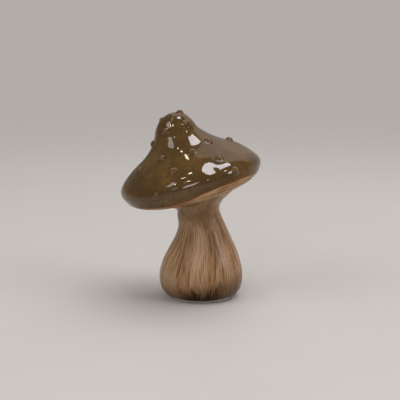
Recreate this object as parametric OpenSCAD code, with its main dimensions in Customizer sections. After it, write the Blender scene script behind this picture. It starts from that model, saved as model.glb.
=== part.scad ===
// Ceramic mushroom ornament: a bell-shaped cap with raised spots on a hollow, thrown stem.
// Millimetres, +Z up. The origin is the middle of the foot's face, and the front looks to -Y.
// The cap is drawn upright about its own axis, as a profile of radius and height above its
// rim line, and each point is then bent, waved and tilted to where the cap sits on the stem.

/* [Cap] */
// Height of the peak above the rim line
peak_h = 47.3; // [46.5:0.1:52]
// Radius of the crown, the round top of the peak
crown_r = 8; // [7:0.1:10]
// Height of the crown
crown_h = 45; // [43:0.1:46]
// Radius of the peak's shoulder
shoulder_r = 13.3; // [12:0.1:14.5]
// Height of the peak's shoulder
shoulder_h = 39; // [37:0.1:41]
// Radius of the waist, where the peak's side is steepest
waist_r = 17.2; // [16:0.1:19]
// Height of the waist
waist_h = 31; // [28:0.1:34]
// Radius where the side flares out
flare_r = 25.7; // [23:0.1:28]
// Height where the side flares out
flare_h = 22.5; // [20:0.1:25]
// Radius halfway down the slope
slope_r = 38.2; // [34:0.1:41]
// Height halfway down the slope
slope_h = 14; // [12:0.1:16]
// Radius of the brim, just above the rim
brim_r = 47.4; // [45:0.1:48.5]
// Height of the brim
brim_h = 6.5; // [5:0.1:8]
// Radius of the rim, the widest ring of the cap
rim_r = 50.7; // [49.5:0.1:53]
// How far the glaze line under the rim, where the cap's two shells meet, lies in from the rim
lip_in = 3.1; // [2.2:0.1:4.2]
// Depth of the glaze line below the rim line
lip_depth = 6.8; // [6:0.1:8]
// Thickness of the cap's clay wall
cap_wall = 4; // [3:0.1:4.5]

/* [Cap underside] */
// Radius where the underside flattens
hollow_r = 42; // [40:0.1:44]
// Depth there below the rim line
hollow_depth = 10.2; // [9:0.1:11]
// Radius halfway in
gill_r = 34; // [32:0.1:37]
// Depth halfway in
gill_depth = 13.6; // [12.5:0.1:14.3]
// Radius near the stem
inner_r = 26; // [24:0.1:28]
// Depth near the stem
inner_depth = 15.5; // [14.8:0.1:16.5]
// Radius of the flat seat that stands on the stem
seat_r = 18.9; // [17:0.1:20]
// Depth of the seat below the rim line
seat_depth = 18.2; // [17.5:0.1:19.5]
// Radius of the hole in the seat that takes the stem's collar
neck_hole_r = 11; // [9:0.1:12]
// How far the seat lies off the cap's axis
seat_offset = 3; // [0:0.1:4]
// Thickness of the ring that stands up inside the rim and centres the two shells
ring_t = 2.5; // [2:0.1:3.5]
// Height of that ring above the joint
ring_h = 2.5; // [1.5:0.1:3.5]

/* [Cap stance] */
// Height of the cap's rim line above the foot
cap_z = 86; // [84:0.1:90]
// How far the cap's centre lies to the left of the foot
cap_left = 7.3; // [5:0.1:9]
// Tilt of the cap to the left, in degrees
tilt_left = 14.5; // [8:0.5:18]
// Tilt of the cap to the back, in degrees
tilt_back = 3; // [0:0.5:6]
// Bend of the peak against the rest of the cap, in degrees
peak_bend = 5; // [0:0.5:8]
// How far the peak is pushed over to the left
peak_push = 2.6; // [0:0.1:4]
// Height at which the bend starts
bend_from = 11.5; // [8:0.5:16]
// Height at which the bend is complete
bend_to = 33; // [26:0.5:38]
// Height of the rim's three-fold wave
wave3 = 0.65; // [0:0.05:1]
// Turn of the three-fold wave, in degrees
wave3_turn = 48; // [0:1:120]
// Height of the rim's two-fold wave
wave2 = 1.3; // [0:0.05:1.8]
// Turn of the two-fold wave, in degrees
wave2_turn = 42; // [0:1:180]

/* [Spots] */
// Radius of a raised spot
spot_r = 2.7; // [2:0.1:3]
// How far a spot stands out of the glaze
spot_proud = 2.1; // [1.2:0.1:2.1]
// Depth of the flat scored seat that a spot is pressed into
spot_seat = 0.6; // [0.4:0.1:1]

/* [Stem] */
// Radius of the stem's bottom edge
edge_r = 22.6; // [21.5:0.1:24]
// Radius of the heel, just above the bottom edge
heel_r = 25.8; // [24.5:0.1:27]
// Height of the heel
heel_z = 3.2; // [2.6:0.1:4]
// Radius of the low part of the bulb
low_r = 28.6; // [27.5:0.1:30]
// Height of the low part of the bulb
low_z = 7.5; // [6:0.1:9]
// Largest radius of the bulb
bulb_r = 29.7; // [28:0.1:32]
// Height of the largest radius
bulb_z = 16; // [13:0.1:19]
// Radius above the bulb
upper_r = 28; // [26:0.1:30]
// Height above the bulb
upper_z = 25; // [22:0.1:28]
// Radius where the stem starts to narrow
taper_r = 24.4; // [22:0.1:26]
// Height where the stem starts to narrow
taper_z = 34; // [31:0.1:37]
// Radius at the middle of the stem
mid_r = 20; // [18:0.1:22]
// Height of the middle of the stem
mid_z = 43; // [40:0.1:46]
// Radius of the slim part
slim_r = 16.8; // [15.5:0.1:19]
// Height of the slim part
slim_z = 51.5; // [48:0.1:55]
// Smallest radius, at the neck
neck_r = 15.2; // [14:0.1:17]
// Height of the neck
neck_z = 60; // [57:0.1:62]
// Radius under the flare
flange_r = 16; // [15:0.1:17.5]
// How far under the seat the flare starts
flange_drop = 4; // [3:0.1:5]
// How far the middle of the stem leans to the right
bow_right = 1.3; // [0:0.1:2.5]
// How far the neck leans to the left
bow_left = 1.8; // [0:0.1:3]
// Thickness of the stem's clay wall
stem_wall = 4; // [3:0.1:5]
// Radius of the bore through the collar, which lets the cap's air out in the kiln
collar_bore_r = 7; // [5:0.1:8]
// How far the collar stands up through the seat
collar_h = 6; // [5:0.1:8]

/* [Foot] */
// Radius of the bare clay foot disc
foot_r = 22; // [20:0.1:22.5]
// Thickness of the foot disc's rim
foot_t = 1.2; // [0.8:0.1:2]
// Radius of the stem's open mouth, which the disc's plug fits
mouth_r = 18.2; // [16:0.1:19]
// Height of the disc's plug in the mouth
plug_h = 4; // [3:0.1:6]
// Radius of the vent hole
vent_r = 2.5; // [1.5:0.1:3.5]
// How far behind the middle the vent hole lies
vent_back = 9; // [6:0.1:13]

/* [Fits] */
// Clearance between the glued clay pieces
joint = 0.2; // [0.1:0.05:0.3]
// Clearance of a spot in its seat
spot_gap = 0.1; // [0.05:0.05:0.2]

/* [Hidden] */
// Rings in each stretch between two profile points, on the seen side and on the inside
outer_steps = 3;
inner_steps = 2;
cap_sides = 60;
stem_sides = 60;
fine = 64;
// How far the flat faces that a round hole opens in reach past its edge, on both sides
flat_land = 2;

// The spots: the place along the cap's profile, counted in profile points from the peak,
// and the angle about the axis, from +X towards the back
SPOTS = [
    [0.85, 350], [2.2, 320], [2.2, 245], [3, 182], [2.9, 85], [1.2, 140],
    [4, 323], [4.25, 284], [4.1, 238], [4.6, 4], [4.2, 140], [3.9, 45],
    [5.25, 306], [5.1, 256], [4.8, 205], [5.4, 154], [5.2, 114], [5.3, 74], [5.6, 37],
    [7.05, 310], [6.95, 241], [6.8, 140], [6.9, 96], [6.7, 56],
];

lip_r = rim_r - lip_in;
cap_profile = [
    [0, peak_h],
    [crown_r, crown_h],
    [shoulder_r, shoulder_h],
    [waist_r, waist_h],
    [flare_r, flare_h],
    [slope_r, slope_h],
    [brim_r, brim_h],
    [rim_r, 0],
    [lip_r, -lip_depth],
];
under_profile = [
    [lip_r, -lip_depth],
    [hollow_r, -hollow_depth],
    [gill_r, -gill_depth],
    [inner_r, -inner_depth],
    [seat_r, -seat_depth],
];
cap_spans = len(cap_profile) - 1;
under_spans = len(under_profile) - 1;
// The mirrored neighbour that makes the top of the peak level
peak_neighbour = [-crown_r, crown_h];
// The underside carries on in the cap's own curve from the glaze line
lip_neighbour = [rim_r, 0];

// Where the two shells meet: square to the wall at the glaze line
joint_normal = unit(turn_left(slope(cap_profile, cap_spans, peak_neighbour, under_profile[1])));
joint_inner = cap_profile[cap_spans] - cap_wall * joint_normal;
ring_r = joint_inner[0] - joint;

// Only the part of the underside inside the centring ring is drawn towards the seat
shift_from_r = ring_r - ring_t;

seat_centre = cap_at([seat_offset, 0, -seat_depth]);
seat_slack = cap_at([seat_offset, 0, -seat_depth - joint]);

// The stem's sections: sideways place, height, radius and share of the cap's tilt
stem_bottom = foot_t + joint;
stem_sections = [
    [0, 0, stem_bottom, edge_r, 0],
    [0, 0, heel_z, heel_r, 0],
    [0, 0, low_z, low_r, 0],
    [0, 0, bulb_z, bulb_r, 0],
    [bow_right / 4, 0, upper_z, upper_r, 0],
    [bow_right * 3 / 4, 0, taper_z, taper_r, 0],
    [bow_right, 0, mid_z, mid_r, 0],
    [bow_right / 3, 0, slim_z, slim_r, 0.14],
    [-bow_left, 0, neck_z, neck_r, 0.5],
    [-bow_left * 3 / 4, 0, seat_slack[2] - flange_drop, flange_r, 0.8],
    [seat_slack[0], seat_slack[1], seat_slack[2], seat_r, 1],
];
stem_spans = len(stem_sections) - 1;

spot_names = [for (i = [1 : len(SPOTS)]) str("spot_", i < 10 ? "0" : "", i)];

function unit(v) = v / norm(v);
function turn_left(v) = [-v[1], v[0]];
function clamp01(t) = min(max(t, 0), 1);
function smooth(t) = let (c = clamp01(t)) c * c * (3 - 2 * c);

// Catmull-Rom spline through the points p, at u counted in points, with the neighbours
// before the first point and after the last
function spline(p, u, before, after) =
    let (
        n = len(p),
        i = min(floor(u), n - 2),
        t = u - i,
        a = i > 0 ? p[i - 1] : before,
        b = p[i],
        c = p[i + 1],
        d = i < n - 2 ? p[i + 2] : after
    )
    (2 * b + (c - a) * t + (2 * a - 5 * b + 4 * c - d) * t * t
        + (3 * b - 3 * c + d - a) * t * t * t) / 2;

function slope(p, u, before, after) =
    let (e = 0.01, n = len(p) - 1)
    spline(p, min(u + e, n), before, after) - spline(p, max(u - e, 0), before, after);

// A profile's own offset into the clay, which lies to the right of its run
function inside(p, u, before, after, depth) =
    spline(p, u, before, after) - depth * unit(turn_left(slope(p, u, before, after)));

// The cap's tilt, for a point or a direction
function tilt(p, share = 1) =
    let (
        a = tilt_left * share,
        b = tilt_back * share,
        x = p[0] * cos(a) - p[2] * sin(a),
        z = p[0] * sin(a) + p[2] * cos(a)
    )
    [x, p[1] * cos(b) + z * sin(b), z * cos(b) - p[1] * sin(b)];

// A point of the upright cap, tilted and set on the stem
function cap_at(p) = [-cap_left, 0, cap_z] + tilt(p);

function wave(a) = wave3 * cos(3 * (a + wave3_turn)) + wave2 * cos(2 * (a + wave2_turn));

// A profile point turned to angle a: the peak's bend, then the rim's wave, which dies out at the seat
function cap_point(rw, a, shift = 0) =
    let (
        r = rw[0],
        w = rw[1],
        bent = smooth((w - bend_from) / (bend_to - bend_from)),
        lean = peak_bend * bent,
        lift = wave(a) * pow(clamp01((r - seat_r) / (rim_r - seat_r)), 2)
    )
    cap_at([
        shift - peak_push * bent + r * cos(a) * cos(lean),
        r * sin(a),
        w + lift + r * cos(a) * sin(lean)
    ]);

function cap_outer(u) = spline(cap_profile, u, peak_neighbour, under_profile[1]);
function cap_ring(rw) =
    [for (j = [0 : cap_sides - 1]) cap_point(rw, j * 360 / cap_sides)];
// The underside's rings move off the cap's axis as they near the stem
function under_shift(r) =
    seat_offset * smooth((shift_from_r - r) / (shift_from_r - seat_r));
function under_ring(rw) =
    [for (j = [0 : cap_sides - 1]) cap_point(rw, j * 360 / cap_sides, under_shift(rw[0]))];

function stem_section(u) =
    spline(
        stem_sections, u,
        2 * stem_sections[0] - stem_sections[1],
        2 * stem_sections[stem_spans] - stem_sections[stem_spans - 1]
    );
function stem_ring(s, r) =
    [for (j = [0 : stem_sides - 1])
        let (a = j * 360 / stem_sides)
        [s[0], s[1], s[2]] + tilt([r * cos(a), r * sin(a), 0], s[4])];

// The outward normal of the cap's glaze at profile place u and angle a
function cap_normal(u, a) =
    let (
        e = 0.02,
        down = cap_point(cap_outer(u + e), a) - cap_point(cap_outer(u - e), a),
        round_ = cap_point(cap_outer(u), a + 1) - cap_point(cap_outer(u), a - 1)
    )
    unit(cross(down, round_));

// A closed skin over a list of rings. A ring of one point is a pole. With closed set, the
// last ring joins the first, as on a hollow ring.
module skin(rings, closed) {
    n = len(rings);
    sides = max([for (r = rings) len(r)]);
    starts = [for (i = 0, s = 0; i < n; s = s + len(rings[i]), i = i + 1) s];
    points = [for (r = rings) each r];
    faces = [
        for (i = [0 : closed ? n - 1 : n - 2])
            let (k = (i + 1) % n, one = len(rings[i]) == 1, other = len(rings[k]) == 1)
            for (j = [0 : sides - 1])
                let (
                    m = (j + 1) % sides,
                    a = starts[i] + (one ? 0 : j),
                    b = starts[i] + (one ? 0 : m),
                    c = starts[k] + (other ? 0 : m),
                    d = starts[k] + (other ? 0 : j)
                )
                each one ? [[a, c, d]] : other ? [[a, b, c]] : [[a, b, c], [a, c, d]]
    ];
    polyhedron(points, faces, convexity = 10);
}

// Moves its children so that +Z runs along the direction d, from the point p
module aim(p, d) {
    translate(p)
        rotate([0, acos(d[2]), atan2(d[1], d[0])])
            children();
}

module on_cap(s) {
    aim(cap_point(cap_outer(s[0]), s[1]), cap_normal(s[0], s[1]))
        children();
}

// Sets its children at the seat, along the cap's own axis, and turned by half a facet, so that
// a round piece's seam falls between the facets' edges
module at_seat() {
    translate(seat_centre)
        rotate([-tilt_back, 0, 0])
            rotate([0, -tilt_left, 180 / cap_sides])
                children();
}

module cap_top() {
    outer = [for (k = [1 : cap_spans * outer_steps]) cap_ring(cap_outer(k / outer_steps))];
    inner = [
        for (k = [cap_spans * inner_steps : -1 : 1])
            cap_ring(inside(cap_profile, k / inner_steps, peak_neighbour, under_profile[1], cap_wall))
    ];
    color("#5a4326")
        difference() {
            skin(concat(
                [[cap_point([0, peak_h], 0)]],
                outer,
                inner,
                [[cap_point([0, peak_h - cap_wall], 0)]]
            ), false);
            for (s = SPOTS)
                on_cap(s)
                    translate([0, 0, -spot_seat])
                        cylinder(h = 2 * spot_seat + spot_proud, r = spot_r + spot_gap, $fn = fine);
        }
}

module cap_underside() {
    // The seen side runs from the glaze line in to the seat, a joint's width from the cap
    along = unit(joint_inner - cap_profile[cap_spans]);
    gap = joint * turn_left(along);
    lower = [
        for (k = [0 : under_spans * outer_steps])
            let (p = spline(under_profile, k / outer_steps, lip_neighbour, [seat_r - 6, -seat_depth]))
            under_ring(k == 0 ? p + gap : p)
    ];
    upper = [
        for (k = [under_spans * inner_steps - 1 : -1 : 2])
            under_ring(inside(under_profile, k / inner_steps, lip_neighbour, [seat_r - 6, -seat_depth], cap_wall))
    ];
    ring_top = joint_inner[1] + ring_h;
    ring_low = joint_inner[1] - 1;
    color("#83694f")
        difference() {
            skin(concat(
                lower,
                [
                    under_ring([neck_hole_r - flat_land, -seat_depth]),
                    under_ring([neck_hole_r - flat_land, cap_wall - seat_depth]),
                    under_ring([neck_hole_r + flat_land, cap_wall - seat_depth])
                ],
                upper,
                [
                    under_ring([ring_r - ring_t, ring_low]),
                    under_ring([ring_r - ring_t, ring_top]),
                    under_ring([ring_r, ring_top]),
                    under_ring([ring_r, joint_inner[1] - joint]),
                ]
            ), true);
            at_seat()
                translate([0, 0, -1])
                    cylinder(h = cap_wall + 2, r = neck_hole_r, $fn = fine);
        }
}

module stem() {
    inner_top = stem_spans - 1;
    outer = [
        for (k = [stem_spans * outer_steps : -1 : 0])
            let (s = stem_section(k / outer_steps))
            stem_ring(s, s[3])
    ];
    inner = [
        for (k = [2 * inner_steps : inner_top * inner_steps - 1])
            let (s = stem_section(k / inner_steps))
            stem_ring(s, s[3] - stem_wall)
    ];
    top = stem_sections[stem_spans];
    ceiling = concat(cap_at([seat_offset, 0, -seat_depth - joint - stem_wall]), [0, 1]);
    core_r = collar_bore_r - flat_land;
    floor_ = [0, 0, stem_bottom + plug_h + 1, 0, 0];
    color("#96795c")
        difference() {
            union() {
                skin(concat(
                    outer,
                    [
                        stem_ring(stem_sections[0], mouth_r - flat_land),
                        stem_ring(floor_, mouth_r - flat_land),
                        stem_ring(floor_, mouth_r + flat_land)
                    ],
                    inner,
                    [
                        stem_ring(ceiling, collar_bore_r + flat_land),
                        stem_ring(ceiling, core_r),
                        stem_ring(top, core_r)
                    ]
                ), true);
                at_seat()
                    translate([0, 0, -2])
                        cylinder(h = collar_h + 2, r = neck_hole_r - joint, $fn = fine);
            }
            at_seat()
                translate([0, 0, -stem_wall - 2])
                    cylinder(h = collar_h + stem_wall + 4, r = collar_bore_r, $fn = fine);
            translate([0, 0, stem_bottom - 1])
                cylinder(h = plug_h + 3, r = mouth_r, $fn = fine);
        }
}

module base_disc() {
    color("#a0947f")
        difference() {
            union() {
                cylinder(h = foot_t, r = foot_r, $fn = fine);
                cylinder(h = foot_t + plug_h, r = mouth_r - joint, $fn = fine);
            }
            translate([0, vent_back, -1])
                cylinder(h = foot_t + plug_h + 2, r = vent_r, $fn = fine);
        }
}

// A bead of clay: the cap of a sphere over a short stub that fills its seat
module spot(s) {
    ball_r = (spot_r * spot_r + spot_proud * spot_proud) / (2 * spot_proud);
    bottom = spot_gap - spot_seat;
    color("#6e4a2c")
        on_cap(s)
            intersection() {
                translate([0, 0, spot_proud - ball_r])
                    sphere(r = ball_r, $fn = fine);
                translate([0, 0, bottom])
                    cylinder(h = spot_proud - bottom + 1, r = spot_r, $fn = fine);
            }
}

cap_top();
cap_underside();
stem();
base_disc();
for (i = [0 : len(SPOTS) - 1])
    spot(SPOTS[i]);
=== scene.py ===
"""Ceramic mushroom ornament: a glossy olive-brown bell cap with raised beads, on a brushed
stoneware stem. Lengths in the shape formulas are millimetres, as a potter would note them,
and become metres when a mesh is made."""

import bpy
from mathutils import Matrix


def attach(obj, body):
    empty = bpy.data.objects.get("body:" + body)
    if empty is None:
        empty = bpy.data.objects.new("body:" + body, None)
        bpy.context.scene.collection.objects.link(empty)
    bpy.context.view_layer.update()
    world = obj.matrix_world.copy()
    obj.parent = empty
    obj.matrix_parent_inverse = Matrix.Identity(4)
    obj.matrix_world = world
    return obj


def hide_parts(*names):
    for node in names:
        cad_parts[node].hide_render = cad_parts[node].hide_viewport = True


bl_info = {
    "name": "Ceramic Mushroom Ornament",
    "version": (1, 0, 0),
    "blender": (4, 5, 0),
    "location": "3D View > Sidebar > Mushroom",
    "description": "Glazed mushroom with a beaded bell cap and a brushed stoneware stem",
    "category": "Add Mesh",
}

import bpy
import numpy as np
from mathutils import Vector

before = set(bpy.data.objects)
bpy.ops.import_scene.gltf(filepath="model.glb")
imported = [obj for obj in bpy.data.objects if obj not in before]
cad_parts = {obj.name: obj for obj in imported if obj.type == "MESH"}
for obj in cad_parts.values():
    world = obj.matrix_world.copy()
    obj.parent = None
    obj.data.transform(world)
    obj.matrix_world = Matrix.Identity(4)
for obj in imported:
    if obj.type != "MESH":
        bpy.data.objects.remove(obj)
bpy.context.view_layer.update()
MM = 0.001
FULL_TURN = 2 * np.pi

RIM_R, SEAT_R, NECK_HOLE_R = 50.7, 18.9, 11.0
SEAT_DEPTH, CAP_WALL, JOINT = 18.2, 4.0, 0.2

# The cap's profile from the peak to the glaze line, and on under the cap to the stem's seat:
# radius and height in the cap's own upright frame
PROFILE = np.array([
    [0, 47.3], [8, 45], [13.3, 39], [17.2, 31], [25.7, 22.5], [38.2, 14], [47.4, 6.5],
    [RIM_R, 0], [47.6, -6.8],
    [42, -10.2], [34, -13.6], [26, -15.5], [SEAT_R, -SEAT_DEPTH],
])
PROFILE_BEFORE = np.array([-8, 45.0])
PROFILE_AFTER = np.array([SEAT_R - 6, -SEAT_DEPTH])
GLAZE_LINE = 8
SEAT = 12
CAP_LEFT, CAP_Z = 7.3, 86.0
TILT_LEFT, TILT_BACK = np.radians(14.5), np.radians(3.0)
PEAK_LEAN, PEAK_PUSH = np.radians(5.0), 2.6
BEND_FROM, BEND_TO = 11.5, 33.0
WAVE_3, WAVE_3_TURN = 0.65, np.radians(48)
WAVE_2, WAVE_2_TURN = 1.3, np.radians(42)
SEAT_OFFSET, SHIFT_FROM_R = 3.0, 42.8

# The beads: the place along the profile, counted in profile points, and the angle in degrees.
# Those on the front are rounded from a projection of their measured places
BEADS = [
    [0.85, 350], [2.2, 320], [2.2, 245], [3, 182], [2.9, 85], [1.2, 140],
    [4, 323], [4.25, 284], [4.1, 238], [4.6, 4], [4.2, 140], [3.9, 45],
    [5.25, 306], [5.1, 256], [4.8, 205], [5.4, 154], [5.2, 114], [5.3, 74], [5.6, 37],
    [7.05, 310], [6.95, 241], [6.8, 140], [6.9, 96], [6.7, 56],
]

# The handmade bell's unevenness: profile place, angle, height, and spread along the profile
# and round the cap. The first four are rounded from a numeric fit of the mirrored window, and
# the rest were set one by one
SWELLS = [
    (7.0, 285, 0.8, 5.5, 5.5), (6.0, 290, -0.8, 5, 5), (5.5, 305, -0.9, 12, 12),
    (5.0, 270, -0.5, 6, 6), (5.0, 5, 1.2, 7, 7), (4.5, 190, 0.9, 10, 10),
    (8.6, 318, 2.3, 5, 14), (8.5, 288, 2.2, 4, 16), (8.5, 255, 1.6, 4, 16),
    (8.5, 222, 0.9, 4, 18), (6.3, 255, 0.6, 4, 6),
    (3.1, 250, 0.7, 4, 5),
]

# Where the glaze's edge leaves the cap's own edge: angle, distance and spread in degrees
EDGE_WANDERS = [(286, -1.9, 15), (318, -1.5, 14), (120, -1.2, 25), (40, -0.9, 20)]

STEM_FOOT_Z, BOW_RIGHT, BOW_LEFT, FLANGE_DROP = 1.4, 1.3, 1.8, 4.0
STEM_WALL, MOUTH_R, PLUG_H, COLLAR_R = 4.0, 18.2, 4.0, 7.0

# Patches of the stem's wash: strength, angle, height, width in degrees and tallness
PALE_PATCHES = [
    (0.8, 262, 36, 10, 18), (0.7, 235, 60, 25, 9), (0.5, 216, 22, 10, 14),
    (0.4, 312, 26, 9, 12), (0.7, 80, 25, 30, 18), (0.5, 160, 33, 24, 15),
]
DEEP_PATCHES = [
    (0.4, 238, 37, 6, 13), (0.9, 290, 62, 25, 8), (0.8, 220, 66, 9, 2.5),
    (0.6, 262, 59, 12, 5), (0.9, 292, 40, 14, 16), (0.9, 320, 52, 12, 9),
    (0.8, 120, 22, 22, 18), (0.7, 30, 30, 20, 20),
]

# Points round a large piece and round a bead
ROUND_SIDES, BEAD_SIDES = 320, 48
# Radius of the circle that the strokes of the cap and of the stem are laid out on
CAP_CIRCLE, STEM_CIRCLE = 30.0, 22.0
# The glaze is thin up to THIN_FROM from a bead's middle, and full THIN_OVER further out
THIN_FROM, THIN_OVER = 2.4, 3.2
# The distance from the glaze's edge that is given to places far from it, and to hidden ones
FAR_FROM_EDGE, HIDDEN = 50.0, 60.0
# How deep a bead's stub goes into the clay, and how far the dish runs in under the glaze
STUB, TUCK = 0.55, 0.5


def colour(red, green, blue):
    """A display colour of 0 to 255 as the linear colour that a shader takes."""
    c = np.array([red, green, blue]) / 255
    linear = np.where(c <= 0.04045, c / 12.92, ((c + 0.055) / 1.055) ** 2.4)
    return tuple(float(v) for v in linear)


# ---------------------------------------------------------------- settings

def length(name, text, default, low, high):
    return bpy.props.FloatProperty(
        name=name, description=text, default=default, min=low, max=high,
        subtype="DISTANCE", unit="LENGTH", precision=5)


def paint(name, text, *rgb):
    return bpy.props.FloatVectorProperty(
        name=name, description=text, default=colour(*rgb), size=3, min=0, max=1,
        subtype="COLOR")


class MushroomSizes(bpy.types.PropertyGroup):
    """Sizes of the details that the CAD model leaves plain"""
    bead_radius: length("Bead radius", "Radius of a bead's ball", 0.0027, 0.002, 0.0028)
    bead_height: length("Bead height", "How far a bead stands out", 0.0019, 0.001, 0.0021)
    bead_fillet: length("Bead fillet", "Radius of the glaze at a bead's foot",
                        0.0018, 0.0004, 0.0025)
    glaze: length("Glaze thickness", "Step from the glaze down to the bare clay",
                  0.00024, 0.0001, 0.0005)
    glaze_overlap: length("Glaze overlap", "How far the glaze runs on past the cap's edge",
                          0.0006, 0.0003, 0.0015)
    ripple: length("Ripple", "Depth of the hand-made unevenness", 0.0003, 0.0, 0.0006)
    foot_round: length("Foot rounding", "Radius of the stem's bottom edge",
                       0.0009, 0.0003, 0.0015)
    floor: length("Floor", "Side of the square floor", 40.0, 12.0, 80.0)


class MushroomColours(bpy.types.PropertyGroup):
    """Colours of the glazes, the clay and the stage"""
    olive: paint("Olive", "The glaze where it lies thick", 105, 80, 38)
    # Umber also paints shade: over the peak, and in part along the lower rim
    umber: paint("Umber", "The glaze's darker clouds", 76, 56, 28)
    rust: paint("Rust", "The glaze where it runs thin", 110, 68, 32)
    beige: paint("Beige", "The stem's pale clay", 178, 151, 122)
    tan: paint("Tan", "The stem's warm wash", 151, 115, 81)
    brown: paint("Brown", "The stem's brush strokes", 104, 71, 46)
    # Dark also paints the contact shadow along the bare foot's bottom edge
    dark: paint("Dark", "The brushed band at the stem's foot", 42, 26, 13)
    under_tan: paint("Underside tan", "The underside's clay", 174, 140, 102)
    under_brown: paint("Underside brown", "The underside's strokes", 128, 92, 60)
    neck: paint("Neck", "The slip round the stem's neck", 158, 133, 101)
    orange: paint("Orange", "The clay beside the glaze", 158, 104, 62)
    bare_clay: paint("Bare clay", "The unglazed foot", 226, 220, 208)
    floor: paint("Floor", "The floor round the mushroom", 202, 201, 201)
    far_floor: paint("Far floor", "The floor further off", 178, 173, 169)


# ---------------------------------------------------------------- shape formulas

def smooth(t):
    """3 t^2 - 2 t^3, with t held between 0 and 1."""
    t = np.clip(t, 0, 1)
    return t * t * (3 - 2 * t)


def spline(points, u, before, after):
    """Catmull-Rom curve through the points at u, counted in points: half of
    2b + (c - a)t + (2a - 5b + 4c - d)t^2 + (3b - 3c + d - a)t^3, for the four
    points a, b, c, d round the place, and t the way from b to c."""
    full = np.vstack([before, points, after])
    u = np.asarray(u, float)
    i = np.clip(np.floor(u).astype(int), 0, len(points) - 2)
    t = (u - i)[..., None]
    a, b, c, d = full[i], full[i + 1], full[i + 2], full[i + 3]
    return (2 * b + (c - a) * t + (2 * a - 5 * b + 4 * c - d) * t ** 2
            + (3 * b - 3 * c + d - a) * t ** 3) / 2


def profile(u):
    return spline(PROFILE, u, PROFILE_BEFORE, PROFILE_AFTER)


def profile_normal(u):
    """The run of the profile turned a quarter left, which points out of the clay."""
    run = profile(np.minimum(u + 0.01, SEAT)) - profile(np.maximum(u - 0.01, 0))
    normal = np.stack([-run[..., 1], run[..., 0]], -1)
    return normal / np.linalg.norm(normal, axis=-1, keepdims=True)


PATH_U = np.linspace(0, SEAT, 1201)
PATH_LENGTH = np.concatenate(
    [[0], np.cumsum(np.linalg.norm(np.diff(profile(PATH_U), axis=0), axis=1))])


def path_length(u):
    """Distance along the profile from the peak."""
    return np.interp(u, PATH_U, PATH_LENGTH)


def path_place(distance):
    """The profile place at a distance from the peak."""
    return np.interp(distance, PATH_LENGTH, PATH_U)


def tilt(p, share=1.0):
    """Turns points by the cap's tilt: to the left about Y, then back about X."""
    a, b = TILT_LEFT * share, TILT_BACK * share
    x = p[..., 0] * np.cos(a) - p[..., 2] * np.sin(a)
    z = p[..., 0] * np.sin(a) + p[..., 2] * np.cos(a)
    y = p[..., 1]
    return np.stack([x, y * np.cos(b) + z * np.sin(b), z * np.cos(b) - y * np.sin(b)], -1)


def on_stem(p):
    """Tilts points of the upright cap and sets them on the stem."""
    return tilt(p) + np.array([-CAP_LEFT, 0, CAP_Z])


# The stem's sections: sideways place, depth place, height, radius and share of the cap's
# tilt. The last one stands right under the cap's seat
NECK_TOP = on_stem(np.array([SEAT_OFFSET, 0, -SEAT_DEPTH - JOINT]))
STEM = np.array([
    [0, 0, STEM_FOOT_Z, 22.6, 0],
    [0, 0, 3.2, 25.8, 0],
    [0, 0, 7.5, 28.6, 0],
    [0, 0, 16, 29.7, 0],
    [BOW_RIGHT / 4, 0, 25, 28, 0],
    [BOW_RIGHT * 3 / 4, 0, 34, 24.4, 0],
    [BOW_RIGHT, 0, 43, 20, 0],
    [BOW_RIGHT / 3, 0, 51.5, 16.8, 0.14],
    [-BOW_LEFT, 0, 60, 15.2, 0.5],
    [-BOW_LEFT * 3 / 4, 0, NECK_TOP[2] - FLANGE_DROP, 16, 0.8],
    [*NECK_TOP, SEAT_R, 1],
])


def ripple(distance, angle):
    """Unevenness from 0 down to -1: sines round the cap and along its profile, summed,
    which die out at the peak."""
    waves = (
        np.sin(2 * angle + distance / 9 + 0.6) + 0.8 * np.sin(3 * angle - distance / 6 + 2.1)
        + 0.6 * np.sin(5 * angle + distance / 5 + 4.0)
        + 0.45 * np.sin(8 * angle - distance / 4.2 + 1.3)
        + 0.25 * np.sin(13 * angle + distance / 3.1 + 5.2))
    return (waves / 3.1 - 1) / 2 * smooth(distance / 14)


def swells(distance, angle):
    """The swells' heights summed: each a bell curve of the distance from its middle, along
    the profile and round the cap."""
    total = 0.0
    for place, degrees, height, along, around in SWELLS:
        run = (distance - path_length(place)) / along
        turned = np.angle(np.exp(1j * (angle - np.radians(degrees))))
        across = turned * profile(place)[0] / around
        total = total + height * np.exp(-(run ** 2 + across ** 2) / 2)
    return total


def cap_point(u, angle, lift=0.0, uneven=0.0):
    """A place on the cap: the profile turned about the axis, lifted along its normal, bent
    over at the peak and waved at the rim, then tilted and set on the stem."""
    u, angle = np.broadcast_arrays(np.asarray(u, float), np.asarray(angle, float))
    lift = lift + uneven * ripple(path_length(u), angle)
    if np.any(uneven):
        lift = lift + swells(path_length(u), angle)
    rw = profile(u) + np.asarray(lift)[..., None] * profile_normal(u)
    r, w = rw[..., 0], rw[..., 1]
    bent = smooth((w - BEND_FROM) / (BEND_TO - BEND_FROM))
    lean = PEAK_LEAN * bent
    wave = (WAVE_3 * np.cos(3 * (angle + WAVE_3_TURN))
            + WAVE_2 * np.cos(2 * (angle + WAVE_2_TURN)))
    raised = wave * np.clip((r - SEAT_R) / (RIM_R - SEAT_R), 0, 1) ** 2
    shift = SEAT_OFFSET * smooth((SHIFT_FROM_R - r) / (SHIFT_FROM_R - SEAT_R))
    x = np.where(u > GLAZE_LINE, shift, 0) - PEAK_PUSH * bent
    upright = np.stack([
        x + r * np.cos(angle) * np.cos(lean),
        r * np.sin(angle),
        w + raised + r * np.cos(angle) * np.sin(lean)], -1)
    return on_stem(upright)


def angles(sides):
    return np.arange(sides) * FULL_TURN / sides


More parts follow.
